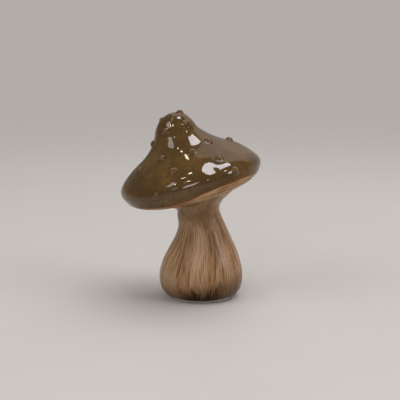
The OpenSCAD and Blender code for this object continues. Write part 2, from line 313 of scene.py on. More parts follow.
def glaze_edge(angle, overlap):
    """Distance along the profile at which the glaze ends: just past the cap's edge, with
    small sines round the cap, and drawn up where the edge wanders."""
    small = (np.sin(4 * angle + 1) + np.sin(7 * angle + 2.2) + 0.8 * np.sin(11 * angle)
             + 0.6 * np.sin(19 * angle + 0.7)) / 6.8
    edge = path_length(GLAZE_LINE) + overlap * (1 + small)
    for degrees, reach, spread in EDGE_WANDERS:
        turned = np.degrees(np.angle(np.exp(1j * (angle - np.radians(degrees)))))
        edge = edge + reach * np.exp(-(turned / spread) ** 2 / 2)
    return edge


# ---------------------------------------------------------------- meshes

def skin(name, rings, start=None, end=None, closed=False, sharp=50, marks=None):
    """A closed skin over a grid of points, ring by ring, in millimetres. The start and the
    end are the poles, or with closed set the last ring joins the first. The marks are named
    values per grid point. The rings run so that the outside is on the left of the run."""
    rows, sides = rings.shape[:2]
    first = 0 if start is None else 1
    near = np.arange(sides)
    beside = (near + 1) % sides
    row = np.arange(rows if closed else rows - 1)[:, None]
    lower = (row + 1) % rows
    quads = first + np.stack([
        row * sides + near, lower * sides + near,
        lower * sides + beside, row * sides + beside], -1).reshape(-1, 4)
    faces = quads.tolist()
    points = [rings.reshape(-1, 3)]
    total = first + rows * sides
    if start is not None:
        points.insert(0, np.reshape(start, (1, 3)))
        faces += np.stack([np.zeros(sides, int), first + near, first + beside], -1).tolist()
    if end is not None:
        points.append(np.reshape(end, (1, 3)))
        last = first + (rows - 1) * sides
        faces += np.stack([last + near, np.full(sides, total), last + beside], -1).tolist()
    mesh = bpy.data.meshes.new(name)
    mesh.from_pydata((np.vstack(points) * MM).tolist(), [], faces)
    mesh.polygons.foreach_set("use_smooth", np.ones(len(faces), bool))
    mesh.set_sharp_from_angle(angle=np.radians(sharp))
    for mark, values in (marks or {}).items():
        vector = values.ndim == 3
        flat = values.reshape(rows * sides, -1)
        if start is not None:
            flat = np.vstack([flat[:sides].mean(0), flat])
        if end is not None:
            flat = np.vstack([flat, flat[-sides:].mean(0)])
        kind, field = ("FLOAT_VECTOR", "vector") if vector else ("FLOAT", "value")
        mesh.attributes.new(mark, kind, "POINT").data.foreach_set(field, flat.ravel())
    mesh.update()
    piece = bpy.data.objects.new(name, mesh)
    bpy.context.scene.collection.objects.link(piece)
    return piece


def settle(piece, slot, material, *nodes):
    """Gives a finished piece its material and its body, and hides the CAD nodes that it stands
    for.
    """
    piece.data.materials.clear()
    piece.data.materials.append(material)
    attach(piece, "root")
    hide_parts(*nodes)


def round_places(angle, distance, radius):
    """Seamless coordinates for strokes: a circle of one radius, and the run, in metres."""
    angle, distance = np.broadcast_arrays(angle, distance)
    return np.stack([radius * np.cos(angle), radius * np.sin(angle), distance], -1) * MM


BEAD_PLACES = cap_point([b[0] for b in BEADS], np.radians([b[1] for b in BEADS]))


def near_bead(points):
    """Distance from the nearest bead's middle."""
    gap = points[..., None, :] - BEAD_PLACES
    return np.sqrt((gap ** 2).sum(-1)).min(-1)


def thinness(points):
    """1 where the glaze lies thin over a bead, falling smoothly to 0 around it."""
    return 1 - smooth((near_bead(points) - THIN_FROM) / THIN_OVER)


def make_cap(sizes):
    """The glazed bell: the outer skin down to the glaze line and on over the clay's edge to
    the glaze's own wandering edge, round that edge by a half circle, and back up inside at
    the wall's thickness."""
    rows, crowding, set_back = 168, 1.15, 1.2
    glaze = sizes.glaze / MM
    turn = angles(ROUND_SIDES)[None, :]
    edge = glaze_edge(turn, sizes.glaze_overlap / MM)
    radius = glaze / 2
    # Rings crowd towards the peak, where the surface is most curved
    fraction = (np.arange(1, rows + 1) / rows)[:, None]
    outer = fraction ** crowding * (edge - radius)
    half_turn = np.linspace(0, np.pi, 9)[1:, None]
    lip = edge - radius + radius * np.sin(half_turn)
    lip_depth = radius * (1 - np.cos(half_turn)) + 0 * turn
    run = np.vstack([outer, lip])
    depth = np.vstack([np.zeros_like(outer), lip_depth])
    u = path_place(run)
    ripples = sizes.ripple / MM
    skin_points = cap_point(u, turn, -depth, ripples)
    # The clay's own end at the joint, then the inner wall up to the peak
    line = path_place(edge - set_back)
    end_depths = np.array([glaze, 1.0, 2.5, CAP_WALL])[:, None]
    end_line = np.repeat(line, len(end_depths), 0)
    end_points = cap_point(end_line, turn, -end_depths + 0 * turn, 0)
    inner_u = line * np.linspace(1, 0, 26)[1:-1, None]
    inner = cap_point(inner_u, turn, -CAP_WALL, 0)
    rings = np.vstack([skin_points, end_points, inner])
    distance = np.vstack([run, path_length(end_line), path_length(inner_u)])
    thin = np.zeros(rings.shape[:2])
    shown = len(run)
    thin[:shown] = thinness(skin_points)
    rim = np.full(rings.shape[:2], FAR_FROM_EDGE)
    rim[:shown] = edge - run
    return skin(
        "glazed_cap", rings, cap_point(0, 0), cap_point(0, 0, -CAP_WALL),
        marks={"thin": thin, "rim": rim, "around": round_places(turn, distance, CAP_CIRCLE)})


def make_bead(number, sizes):
    """A bead: a ball's cap and a concave fillet at its foot, both arcs turned about the
    bead's middle, laid on the cap's surface, with a short stub down into the clay."""
    place, degrees = BEADS[number]
    draw = np.random.default_rng(40 + number)
    stretch, squeeze = draw.uniform(0.96, 1.04), draw.uniform(0.9, 1.0)
    lean = draw.uniform(0, 6)
    ball = sizes.bead_radius / MM * stretch
    height = sizes.bead_height / MM * squeeze
    fillet = sizes.bead_fillet / MM
    middle = height - ball
    out = np.sqrt((ball + fillet) ** 2 - (fillet - middle) ** 2)
    meet = np.arctan2(out, fillet - middle)
    dome = np.linspace(0, meet, 15)[1:]
    foot = np.linspace(meet, 0, 12)[1:]
    reach = np.concatenate([ball * np.sin(dome), out - fillet * np.sin(foot),
                            [out + 0.12, out + 0.1, 2.4, 2.3]])
    rise = np.concatenate([middle + ball * np.cos(dome), fillet - fillet * np.cos(foot),
                           [-0.03, -0.2, -0.3, -STUB]])
    turn = angles(BEAD_SIDES)[None, :]
    oval = 1 + 0.05 * np.cos(2 * turn + lean)
    reach = reach[:, None] * oval
    rise = rise[:, None] + 0 * turn
    distance = path_length(place) + reach * np.cos(turn)
    u = path_place(distance)
    beside = reach * np.sin(turn) / np.maximum(profile(u)[..., 0], 1.0)
    angle = np.radians(degrees) + beside
    ripples = sizes.ripple / MM
    rings = cap_point(u, angle, rise, ripples)
    top = cap_point(place, np.radians(degrees), height, ripples)
    bottom = cap_point(place, np.radians(degrees), -STUB, ripples)
    thin = thinness(rings)
    return skin(
        f"bead_{number + 1:02d}", rings, top, bottom,
        marks={"thin": thin, "rim": FAR_FROM_EDGE + 0 * thin,
               "around": round_places(angle, distance, CAP_CIRCLE)})


def make_underside(sizes):
    """The dish under the cap: the profile from the glaze line in to the seat, a glaze's
    thickness down, then the flat seat with its hole, and back over the top at the wall's
    thickness."""
    turn = angles(ROUND_SIDES)[None, :]
    step = sizes.glaze / MM
    edge = glaze_edge(turn, sizes.glaze_overlap / MM)
    way = np.linspace(0, 1, 96)[:, None]
    distance_seen = edge - TUCK + (path_length(SEAT) - edge + TUCK) * way
    seen_u = path_place(distance_seen)
    to_go = path_length(SEAT) - path_length(seen_u)
    run = distance_seen - edge
    # Faint gills: shallow grooves that fade in from the edge and out at the seat
    fade = smooth((run - 3) / 8) * smooth(to_go / 6)
    gills = 0.11 * fade * (np.cos(48 * turn + 1.2 * np.sin(5 * turn)) - 1) / 2
    ease = smooth(to_go / 8)
    seen = cap_point(seen_u, turn, -step * ease + gills, 0.6 * sizes.ripple / MM * ease)
    flat = []
    for r, w in ((NECK_HOLE_R + 0.3, 0), (NECK_HOLE_R, 0.3), (NECK_HOLE_R, CAP_WALL),
                 (SEAT_R - 2, CAP_WALL)):
        flat.append(on_stem(np.stack([
            SEAT_OFFSET + r * np.cos(turn), r * np.sin(turn),
            w - SEAT_DEPTH + 0 * turn], -1)))
    back_u = np.linspace(SEAT - 0.7, GLAZE_LINE + 0.12, 20)[:, None] + 0 * turn
    back = cap_point(back_u, turn, -CAP_WALL, 0)
    end = cap_point(np.repeat(path_place(edge - TUCK), 2, 0), turn,
                    -np.array([[CAP_WALL - 0.3], [2.0]]) + 0 * turn, 0)
    rings = np.vstack([seen, *flat, back, end])
    distance = np.full(rings.shape[:2], HIDDEN)
    distance[:len(run)] = run
    return skin(
        "brushed_underside", rings, closed=True,
        marks={"rim": distance, "around": round_places(turn, distance, CAP_CIRCLE)})


def patches(angle, height, table):
    """Soft patches on the stem, summed: each a bell curve round the angle and up the
    height, times its strength."""
    total = 0.0
    for strength, at, z, wide, tall in table:
        off = np.degrees((angle - np.radians(at) + np.pi) % FULL_TURN - np.pi)
        total = total + strength * np.exp(-(off / wide) ** 2 - ((height - z) / tall) ** 2)
    return total


def make_stem(sizes):
    """The stem: round sections along a bowed, tilting spline, faintly fluted by the brush
    and the thumb, with a rounded bottom edge, an open mouth below and the collar's bore
    above."""
    turn = angles(ROUND_SIDES)[None, :]
    before, after = 2 * STEM[0] - STEM[1], 2 * STEM[-1] - STEM[-2]
    top = len(STEM) - 1
    # The first rings lie under the smear
    covered = 3
    u = np.linspace(top, 0.0, 150)
    section = spline(STEM, u, before, after)
    height = section[:, 2:3] + 0 * turn
    fade = smooth((height - 2) / 8) * smooth((70 - height) / 8)
    flutes = (np.cos(17 * turn + height / 14 + 1) + 0.8 * np.cos(26 * turn - height / 11)
              + 1.3 * np.cos(7 * turn + height / 20 + 2.5)
              + 0.9 * np.cos(3 * turn - height / 9)) / 4
    uneven = sizes.ripple / MM * fade * (flutes - 1) / 2

    def rings_of(rows, radius):
        flat = np.stack(
            [radius * np.cos(turn), radius * np.sin(turn), 0 * radius + 0 * turn], -1)
        share = rows[:, 4]
        turned = np.stack([tilt(flat[k], share[k]) for k in range(len(rows))])
        return rows[:, None, :3] + turned

    # The bottom edge: the last rings are eased in by a quarter circle
    soft = sizes.foot_round / MM
    rise = np.clip(soft - (section[:, 2:3] - STEM_FOOT_Z), 0, soft)
    pull = soft - np.sqrt(soft ** 2 - rise ** 2)
    skin_points = rings_of(section, section[:, 3:4] + uneven - pull)
    # The slip smeared over the joint: it leaves the underside level and runs into the stem
    run_out = np.linspace(0, 1, 10)[:, None]
    place = path_place(path_length(SEAT) - 2.6 * (1 - run_out)) + 0 * turn
    smear = cap_point(place, turn, 0.55 * run_out ** 2 - 0.26 * (1 - run_out), 0)
    skin_points = np.vstack([smear, skin_points[covered:]])
    height = np.vstack([np.repeat(height[:1] + 1, len(smear), 0), height[covered:]])
    foot = STEM[0]
    ceiling = spline(STEM, top - 1.0, before, after)

    def flat_ring(row, radius, z=None):
        row = row.copy()
        if z is not None:
            row[2] = z
        return rings_of(row[None, :], np.full((1, 1), float(radius)))

    hollow_u = np.linspace(2.2, top - 1.4, 24)
    hollow = spline(STEM, hollow_u, before, after)
    rings = np.vstack([
        skin_points,
        flat_ring(foot, 20.4), flat_ring(foot, MOUTH_R + 0.2),
        flat_ring(foot, MOUTH_R, STEM_FOOT_Z + 0.2),
        flat_ring(foot, MOUTH_R, STEM_FOOT_Z + PLUG_H + 1),
        rings_of(hollow, hollow[:, 3:4] - STEM_WALL),
        flat_ring(ceiling, COLLAR_R), flat_ring(STEM[-1], COLLAR_R)])
    z = np.full(rings.shape[:2], STEM_FOOT_Z)
    z[:len(height)] = height
    return skin(
        "brushed_stem", rings, closed=True,
        marks={"pale": patches(turn, z, PALE_PATCHES), "deep": patches(turn, z, DEEP_PATCHES),
               "height": z, "around": round_places(turn, z, STEM_CIRCLE)})


# ---------------------------------------------------------------- material building

def feed(tree, node, inputs):
    """Links each input that is a socket to the node, and sets any other value on it."""
    for name, value in inputs.items():
        socket = node.inputs[name]
        if isinstance(value, bpy.types.NodeSocket):
            tree.links.new(value, socket)
        else:
            if socket.type == "RGBA" and len(value) == 3:
                value = (*value, 1)
            socket.default_value = value


def add(tree, kind, inputs=None, **fields):
    """Adds a node with its fields and inputs."""
    node = tree.nodes.new(kind)
    for field, value in fields.items():
        setattr(node, field, value)
    feed(tree, node, inputs or {})
    return node


def math(tree, operation, first, second=0.0, third=0.0, clamp=False):
    return add(tree, "ShaderNodeMath", {0: first, 1: second, 2: third},
               operation=operation, use_clamp=clamp).outputs[0]


def ramp(tree, value, low, high, to_low=0.0, to_high=1.0):
    """The value carried smoothly from the range low..high to the range to_low..to_high."""
    return add(tree, "ShaderNodeMapRange",
               {"Value": value, "From Min": low, "From Max": high,
                "To Min": to_low, "To Max": to_high},
               interpolation_type="SMOOTHSTEP").outputs["Result"]


def mix(tree, factor, first, second, blend="MIX"):
    return add(tree, "ShaderNodeMix", {0: factor, 6: first, 7: second},
               data_type="RGBA", blend_type=blend).outputs[2]


def noise(tree, vector, scale, detail=2.0, rough=0.5, warp=0.0):
    return add(tree, "ShaderNodeTexNoise",
               {"Vector": vector, "Scale": scale, "Detail": detail, "Roughness": rough,
                "Distortion": warp}).outputs["Fac"]


def parts_of(tree, vector):
    return add(tree, "ShaderNodeSeparateXYZ", {0: vector}).outputs


def attribute(tree, name, output="Fac"):
    return add(tree, "ShaderNodeAttribute", attribute_name=name).outputs[output]


def new_group(name, inputs, outputs):
    """A shader node group with its named sockets, and its two ends."""
    group = bpy.data.node_groups.new(name, "ShaderNodeTree")
    for label, kind, default in inputs:
        socket = group.interface.new_socket(label, in_out="INPUT", socket_type=kind)
        if default is not None:
            socket.default_value = default
    for label, kind in outputs:
        group.interface.new_socket(label, in_out="OUTPUT", socket_type=kind)
    entry = group.nodes.new("NodeGroupInput").outputs
    leave = group.nodes.new("NodeGroupOutput").inputs
    return group, entry, leave


FLOAT, VECTOR, COLOUR = "NodeSocketFloat", "NodeSocketVector", "NodeSocketColor"


def strokes_group():
    """Brush strokes: noise squeezed across the stroke and drawn out along it, with the
    strokes' course bent by a wide noise. Fine strokes, broad strokes, and their relief."""
    group, entry, leave = new_group(
        "Brush strokes",
        [("Around", VECTOR, None), ("Width", FLOAT, 0.0014), ("Length", FLOAT, 0.02),
         ("Sway", FLOAT, 0.5)],
        [("Fine", FLOAT), ("Broad", FLOAT), ("Relief", FLOAT)])
    sway = add(group, "ShaderNodeTexNoise",
               {"Vector": entry["Around"], "Scale": 60.0, "Detail": 1.0}).outputs["Color"]
    centred = add(group, "ShaderNodeVectorMath", {0: sway, 1: (0.5, 0.5, 0.5)},
                  operation="SUBTRACT").outputs[0]
    amount = math(group, "MULTIPLY", entry["Sway"], 0.01)
    moved = add(group, "ShaderNodeVectorMath", {0: centred, "Scale": amount},
                operation="SCALE").outputs[0]
    course = add(group, "ShaderNodeVectorMath", {0: entry["Around"], 1: moved},
                 operation="ADD").outputs[0]
    parts = parts_of(group, course)

    def squeezed(widen, lengthen):
        across = math(group, "MULTIPLY", entry["Width"], widen)
        along = math(group, "MULTIPLY", entry["Length"], lengthen)
        return add(group, "ShaderNodeCombineXYZ", {
            0: math(group, "DIVIDE", parts[0], across),
            1: math(group, "DIVIDE", parts[1], across),
            2: math(group, "DIVIDE", parts[2], along)}).outputs[0]

    fine = noise(group, squeezed(1.0, 1.0), 1.0, 3.0, 0.6)
    broad = noise(group, squeezed(3.2, 1.5), 1.0, 2.0, 0.5)
    hair = noise(group, squeezed(0.35, 0.8), 1.0, 2.0, 0.6)
    group.links.new(math(group, "ADD", math(group, "MULTIPLY", fine, 0.65),
                         math(group, "MULTIPLY", hair, 0.35)), leave["Fine"])
    group.links.new(broad, leave["Broad"])
    group.links.new(math(group, "ADD", fine, hair), leave["Relief"])
    return group


def glaze_group():
    """The gloss glaze's colour: clouds of olive and umber with fine mottling, rust where
    the glaze is thin, painted shade towards the peak, a dark ring round each bead's foot
    that is partly pooled glaze and partly painted shade, and a darker line where it gathers
    at its edge, partly painted shade."""
    group, entry, leave = new_group(
        "Gloss glaze",
        [("Place", VECTOR, None), ("Thin", FLOAT, 0.0), ("Ring", FLOAT, 0.0),
         ("Rim", FLOAT, FAR_FROM_EDGE), ("Olive", COLOUR, None),
         ("Umber", COLOUR, None), ("Rust", COLOUR, None)],
        [("Color", COLOUR), ("Roughness", FLOAT), ("Relief", FLOAT)])
    place = entry["Place"]
    clouds = ramp(group, noise(group, place, 55.0, 3.0, 0.55, 0.4), 0.35, 0.68)
    base = mix(group, clouds, entry["Umber"], entry["Olive"])
    # Painted shade: the glaze is darkened with umber towards the peak, to tone down the light
    # that falls on the top
    height = parts_of(group, place)[2]
    base = mix(group, ramp(group, height, 0.07, 0.13, 0, 0.45), base, entry["Umber"])
    # Thicker runs down the flanks
    drawn = add(group, "ShaderNodeVectorMath", {0: place, 1: (1.0, 1.0, 0.22)},
                operation="MULTIPLY").outputs[0]
    runs = noise(group, drawn, 280.0, 3.0, 0.6)
    base = mix(group, ramp(group, runs, 0.48, 0.64, 0, 0.7), base, entry["Umber"])
    mottle = noise(group, place, 420.0, 4.0, 0.7)
    base = mix(group, ramp(group, mottle, 0.5, 0.72, 0, 0.3), base, entry["Rust"])
    specks = noise(group, place, 1500.0, 1.0, 0.5)
    base = mix(group, ramp(group, specks, 0.64, 0.74, 0, 0.45), base, entry["Umber"])
    breaks = math(group, "ADD", entry["Thin"],
                  math(group, "MULTIPLY", math(group, "SUBTRACT", mottle, 0.5), 1.1))
    base = mix(group, ramp(group, breaks, 0.35, 1.0, 0, 0.8), base, entry["Rust"])
    # Partly glaze pooled round each bead's foot, partly painted shade: a dark ring in the crease
    # at the foot
    pooled_and_shaded_ring = math(group, "MULTIPLY", ramp(group, entry["Ring"], 0.35, 0.8),
                ramp(group, entry["Ring"], 1.0, 0.93))
    base = mix(group, math(group, "MULTIPLY", pooled_and_shaded_ring, 0.5), base, (0.35, 0.32, 0.3), "MULTIPLY")
    # Partly glaze gathered at its edge, partly painted shade: umber over the band near the edge,
    # damping the floor's reflection on the lower rim
    gathered_and_shaded = ramp(group, math(group, "ADD", entry["Rim"], math(group, "MULTIPLY", mottle, 4.0)),
                    9.0, 1.5, 0, 0.15)
    base = mix(group, gathered_and_shaded, base, entry["Umber"])
    base = mix(group, ramp(group, entry["Rim"], 1.3, 0.5, 0, 0.6), base, entry["Rust"])
    group.links.new(base, leave["Color"])
    group.links.new(ramp(group, noise(group, place, 130.0, 2.0), 0.3, 0.7, 0.03, 0.065),
                    leave["Roughness"])
    group.links.new(noise(group, place, 260.0, 2.0, 0.5), leave["Relief"])
    return group


def shared(name, make):
    return bpy.data.node_groups.get(name) or make()


def new_material(name):
    material = bpy.data.materials.new(name)
    material.use_nodes = True
    tree = material.node_tree
    shader = next(n for n in tree.nodes if n.type == "BSDF_PRINCIPLED")
    return material, tree, shader


def use_group(tree, group, inputs):
    node = tree.nodes.new("ShaderNodeGroup")
    node.node_tree = group
    feed(tree, node, inputs)
    return node.outputs


def object_place(tree):
    return tree.nodes.new("ShaderNodeTexCoord").outputs["Object"]


def bump(tree, height, distance, strength=1.0):
    return add(tree, "ShaderNodeBump",
               {"Height": height, "Distance": distance, "Strength": strength}).outputs[0]


def glaze_material(name, colours, rust_share):
    """The cap's gloss glaze, with more or less rust."""
    material, tree, shader = new_material(name)
    thin = attribute(tree, "thin")
    glaze = use_group(tree, shared("Gloss glaze", glaze_group), {
        "Place": object_place(tree), "Rim": attribute(tree, "rim"),
        "Thin": math(tree, "MULTIPLY", thin, rust_share), "Ring": thin,
        "Olive": colours.olive, "Umber": colours.umber, "Rust": colours.rust})
    tree.links.new(glaze["Color"], shader.inputs["Base Color"])
    tree.links.new(glaze["Roughness"], shader.inputs["Roughness"])
    tree.links.new(bump(tree, glaze["Relief"], 0.0001, 0.1), shader.inputs["Normal"])
    # The glaze is drier where it thins out at its edge, over a wider strip on the right
    rim = attribute(tree, "rim")
    to_right = parts_of(tree, object_place(tree))[0]
    edge = math(tree, "MULTIPLY", ramp(tree, rim, 8.0, 1.0), ramp(tree, to_right, 0.0, 0.025))
    edge = math(tree, "MAXIMUM", edge, ramp(tree, rim, 3.2, 1.4))
    tree.links.new(ramp(tree, edge, 0.0, 1.0, 0.5, 0.25), shader.inputs["Specular IOR Level"])
    return material


def underside_material(colours):
    """Satin tan clay with radial brown strokes, and a thin dark line beside the glaze."""
    material, tree, shader = new_material("Underside wash")
    around = attribute(tree, "around", "Vector")
    banded = use_group(tree, shared("Brush strokes", strokes_group), {
        "Around": around, "Width": 0.015, "Length": 0.0009, "Sway": 0.12})
    strokes = use_group(tree, shared("Brush strokes", strokes_group), {
        "Around": around, "Width": 0.0010, "Length": 0.014, "Sway": 0.2})
    rim = attribute(tree, "rim")
    inwards = ramp(tree, rim, 12.0, 22.0)
    place = object_place(tree)
    cloud = noise(tree, place, 110.0, 2.0)
    wash = add(tree, "ShaderNodeMix", {0: inwards, 2: banded["Fine"], 3: strokes["Fine"]},
               data_type="FLOAT").outputs[0]
    tone = math(tree, "ADD", math(tree, "MULTIPLY", wash, 0.75),
                math(tree, "MULTIPLY", cloud, 0.25))
    base = mix(tree, ramp(tree, tone, 0.42, 0.56), colours.under_brown, colours.under_tan)
    wander = math(tree, "MULTIPLY", math(tree, "SUBTRACT", banded["Broad"], 0.5), 3.0)
    near = math(tree, "ADD", rim, wander)
    base = mix(tree, ramp(tree, near, 1.3, 0.5, 0, 0.5), base, colours.orange)
    # The stem's slip, smeared out over the front, ends in a dark brushed line
    front = ramp(tree, parts_of(tree, around)[1], -0.014, -0.024)
    slip = math(tree, "MULTIPLY", ramp(tree, near, 10.0, 13.0), front)
    neck = mix(tree, ramp(tree, cloud, 0.42, 0.6), colours.brown, colours.neck)
    base = mix(tree, math(tree, "MULTIPLY", slip, 0.8), base, neck)
    line = math(tree, "MULTIPLY", ramp(tree, near, 9.4, 10.4), ramp(tree, near, 12.2, 10.8))
    line = math(tree, "MULTIPLY", math(tree, "MULTIPLY", line, front), 0.9)
    base = mix(tree, line, base, colours.dark)
    base = mix(tree, ramp(tree, rim, 0.55, 0.2, 0, 0.8), base, colours.dark)
    tree.links.new(base, shader.inputs["Base Color"])
    tree.links.new(ramp(tree, strokes["Fine"], 0.3, 0.7, 0.36, 0.55), shader.inputs["Roughness"])
    tree.links.new(bump(tree, strokes["Relief"], 0.00015, 0.6), shader.inputs["Normal"])
    shader.inputs["Specular IOR Level"].default_value = 0.3
    return material


def stem_material(colours):
    """Satin clear glaze over beige clay with upright brown strokes: pale and deep patches
    from the stem's own marks, and a dark band brushed up from the foot."""
    material, tree, shader = new_material("Stem wash")
    around = attribute(tree, "around", "Vector")
    strokes = use_group(tree, shared("Brush strokes", strokes_group), {
        "Around": around, "Width": 0.0006, "Length": 0.014, "Sway": 0.1})
    place = object_place(tree)
    height = attribute(tree, "height")
    pale, deep = attribute(tree, "pale"), attribute(tree, "deep")
    tone = math(tree, "ADD", math(tree, "MULTIPLY", strokes["Fine"], 0.78),
                math(tree, "MULTIPLY", strokes["Broad"], 0.22))
    tone = math(tree, "ADD", tone, math(tree, "MULTIPLY", pale, 0.08))
    tone = math(tree, "SUBTRACT", tone, math(tree, "MULTIPLY", deep, 0.07))
    base = mix(tree, ramp(tree, tone, 0.39, 0.50), colours.brown, colours.tan)
    base = mix(tree, ramp(tree, tone, 0.475, 0.60), base, colours.beige)
    base = mix(tree, math(tree, "MULTIPLY", pale, 0.35), base, colours.beige)
    # A greyer slip with dabs of brown below the cap
    dabs = use_group(tree, shared("Brush strokes", strokes_group), {
        "Around": around, "Width": 0.0013, "Length": 0.005, "Sway": 0.7})["Fine"]
    near_cap = ramp(tree, height, 48.0, 62.0)
    base = mix(tree, math(tree, "MULTIPLY", near_cap, 0.7), base, colours.neck)
    base = mix(tree, math(tree, "MULTIPLY", ramp(tree, dabs, 0.5, 0.6, 0, 0.75), near_cap),
               base, colours.brown)
    base = mix(tree, math(tree, "MULTIPLY", math(tree, "MULTIPLY", deep, near_cap), 0.6),
               base, colours.brown)
    # The foot's dark band, with tongues brushed upwards
    tongues = math(tree, "ADD", math(tree, "MULTIPLY", strokes["Fine"], 60.0),
                   math(tree, "MULTIPLY", strokes["Broad"], 8.0))
    to_right = parts_of(tree, around)[0]
    to_right = math(tree, "MAXIMUM", to_right, 0.0)
    tongues = math(tree, "ADD", tongues, math(tree, "MULTIPLY", to_right, 430.0))
    band = ramp(tree, math(tree, "SUBTRACT", height, tongues), -20.5, -29.0)
    to_front = parts_of(tree, around)[1]
    band = math(tree, "MULTIPLY", band, ramp(tree, to_front, -0.017, -0.0215, 0.6, 1.0))
    base = mix(tree, band, base, colours.dark)
    specks = noise(tree, place, 900.0, 2.0, 0.6)
    base = mix(tree, ramp(tree, specks, 0.62, 0.72, 0, 0.5), base, colours.brown)
    tree.links.new(base, shader.inputs["Base Color"])
    tree.links.new(ramp(tree, strokes["Fine"], 0.3, 0.7, 0.16, 0.28), shader.inputs["Roughness"])
    tree.links.new(bump(tree, strokes["Relief"], 0.0001, 0.5), shader.inputs["Normal"])
    tree.links.new(ramp(tree, band, 0.0, 1.0, 0.15, 0.1), shader.inputs["Specular IOR Level"])
    return material


def clay_material(colours):
    """Matt unglazed stoneware with fine grains and soft stains, and a painted contact shadow
    along its bottom edge.
    """
    material, tree, shader = new_material("Bare clay")
    place = object_place(tree)
    grain = noise(tree, place, 1800.0, 3.0, 0.6)
    stain = noise(tree, place, 120.0, 3.0)
    base = mix(tree, ramp(tree, stain, 0.35, 0.7, 0, 0.3), colours.bare_clay, colours.beige)
    base = mix(tree, ramp(tree, grain, 0.58, 0.72, 0, 0.3), base, colours.tan)
    # Painted shade: the bottom edge is darkened, a painted contact shadow where the disc meets
    # the floor
    low = ramp(tree, parts_of(tree, place)[2], 0.0008, 0.0003)
    base = mix(tree, math(tree, "MULTIPLY", low, 0.85), base, colours.dark)
    tree.links.new(base, shader.inputs["Base Color"])
    tree.links.new(ramp(tree, grain, 0.3, 0.7, 0.75, 0.9), shader.inputs["Roughness"])
    tree.links.new(bump(tree, grain, 0.0001, 0.6), shader.inputs["Normal"])
    return material


def floor_material(colours):
    """The floor: plain and pale, and one flat tone from FAR_FROM to FAR_TO metres off."""
    material, tree, shader = new_material("Pale floor")
    place = object_place(tree)
    away = add(tree, "ShaderNodeVectorMath", {0: place}, operation="LENGTH").outputs[1]
    far = ramp(tree, away, FAR_FROM, FAR_TO)
    faint = noise(tree, place, 9.0, 3.0)
    base = mix(tree, ramp(tree, faint, 0.3, 0.7, 0.0, 0.06), colours.floor, colours.far_floor)
    tree.links.new(base, shader.inputs["Base Color"])
    shader.inputs["Roughness"].default_value = 0.6
    shader.inputs["Specular IOR Level"].default_value = 0.2
    path = tree.nodes.new("ShaderNodeLightPath").outputs
    seen = math(tree, "ADD", path["Is Camera Ray"], path["Is Glossy Ray"], clamp=True)
    seen = math(tree, "ADD", seen, path["Is Transmission Ray"], clamp=True)
    glow = add(tree, "ShaderNodeEmission", {"Color": colours.far_floor, "Strength": 1.0})
    both = add(tree, "ShaderNodeMixShader",
               {0: math(tree, "MULTIPLY", seen, far), 1: shader.outputs[0], 2: glow.outputs[0]})
    out = next(n for n in tree.nodes if n.type == "OUTPUT_MATERIAL")
    tree.links.new(both.outputs[0], out.inputs["Surface"])
    return material


# ---------------------------------------------------------------- stage

STAGE_CENTRE = Vector((0, 0, 0.09))
FAR_FROM, FAR_TO = 0.3, 0.9
CAMERA_PLACE = (-0.000716, -1.03849, 0.28411)
CAMERA_TILT = np.radians(78.323)
LENS, SENSOR = 135, 36
NEAREST_SEEN, FURTHEST_SEEN = 0.05, 60

# The tones of the room and of its pale side, and that side's direction and its two edges. The
# direction and the front edge are rounded from the same numeric fit as the first swells
ROOM_DIM, ROOM_PALE = (0.17, 0.155, 0.135), (1.0, 0.895, 0.82)
PALE_SIDE = (-0.22, 0.97, -0.05)
PALE_EDGE, PALE_LEFT = 0.30, -0.22

# A lamp narrower than this is a round bulb
BULB_WIDTH = 0.3
BULB_TINT = (1.0, 0.88, 0.66)

# Each lamp: its direction from the mushroom, distance, width, height, brightness as seen,
# and colour. The directions of those that show in the glaze are rounded from a trace of
# their mirror images, and the skylight's direction and size from the numeric fit
LAMPS = [
    ("skylight", (0.19, 0.18, 0.96), 1.7, 0.41, 0.56, 10.5, (0.98, 0.96, 1.0)),
    ("side_window", (-0.60, -0.23, 0.76), 1.9, 0.46, 0.62, 4.0, (1.0, 0.96, 0.94)),
    ("front_window", (-0.17, -0.87, 0.45), 2.4, 0.50, 0.72, 5.5, (1.0, 0.96, 0.97)),
    ("right_window", (0.86, -0.33, 0.38), 2.4, 0.60, 0.90, 9.0, (0.96, 0.95, 1.0)),
    ("curtain", (-0.50, -0.74, 0.42), 2.4, 0.45, 0.90, 1.4, (1.0, 0.96, 0.92)),
    ("lamp_1", (-0.27, 0.26, 0.93), 1.7, 0.07, 0.07, 17.0, BULB_TINT),
    ("lamp_2", (-0.30, 0.11, 0.95), 1.8, 0.08, 0.08, 35.0, BULB_TINT),
    ("lamp_3", (-0.37, -0.04, 0.93), 1.8, 0.06, 0.06, 45.0, BULB_TINT),
    ("lamp_4", (-0.31, -0.40, 0.86), 1.8, 0.07, 0.07, 45.0, BULB_TINT),
    ("lamp_5", (-0.50, -0.34, 0.80), 1.8, 0.09, 0.09, 40.0, BULB_TINT),
    ("lamp_6", (0.46, -0.24, 0.86), 1.8, 0.12, 0.12, 40.0, BULB_TINT),
    ("lamp_7", (0.31, -0.75, 0.58), 2.1, 0.14, 0.14, 45.0, BULB_TINT),
    ("ceiling", (0.32, 0.02, 0.95), 2.2, 2.4, 2.4, 2.0, (1.0, 0.97, 0.95)),
    ("left_wall", (-0.80, -0.42, 0.55), 2.6, 2.0, 2.0, 1.6, (1.0, 0.96, 0.90)),
    ("right_wall", (0.85, -0.45, 0.35), 2.6, 1.8, 1.8, 1.9, (1.0, 0.97, 0.95)),
]

# The ceiling and the walls give soft light, and don't show in the glaze. Those in LIGHT_TOO
# both light the clay and show in the glaze, and all others only show there
SOFT_ONLY = ("ceiling", "left_wall", "right_wall")
LIGHT_TOO = ("front_window", "curtain")


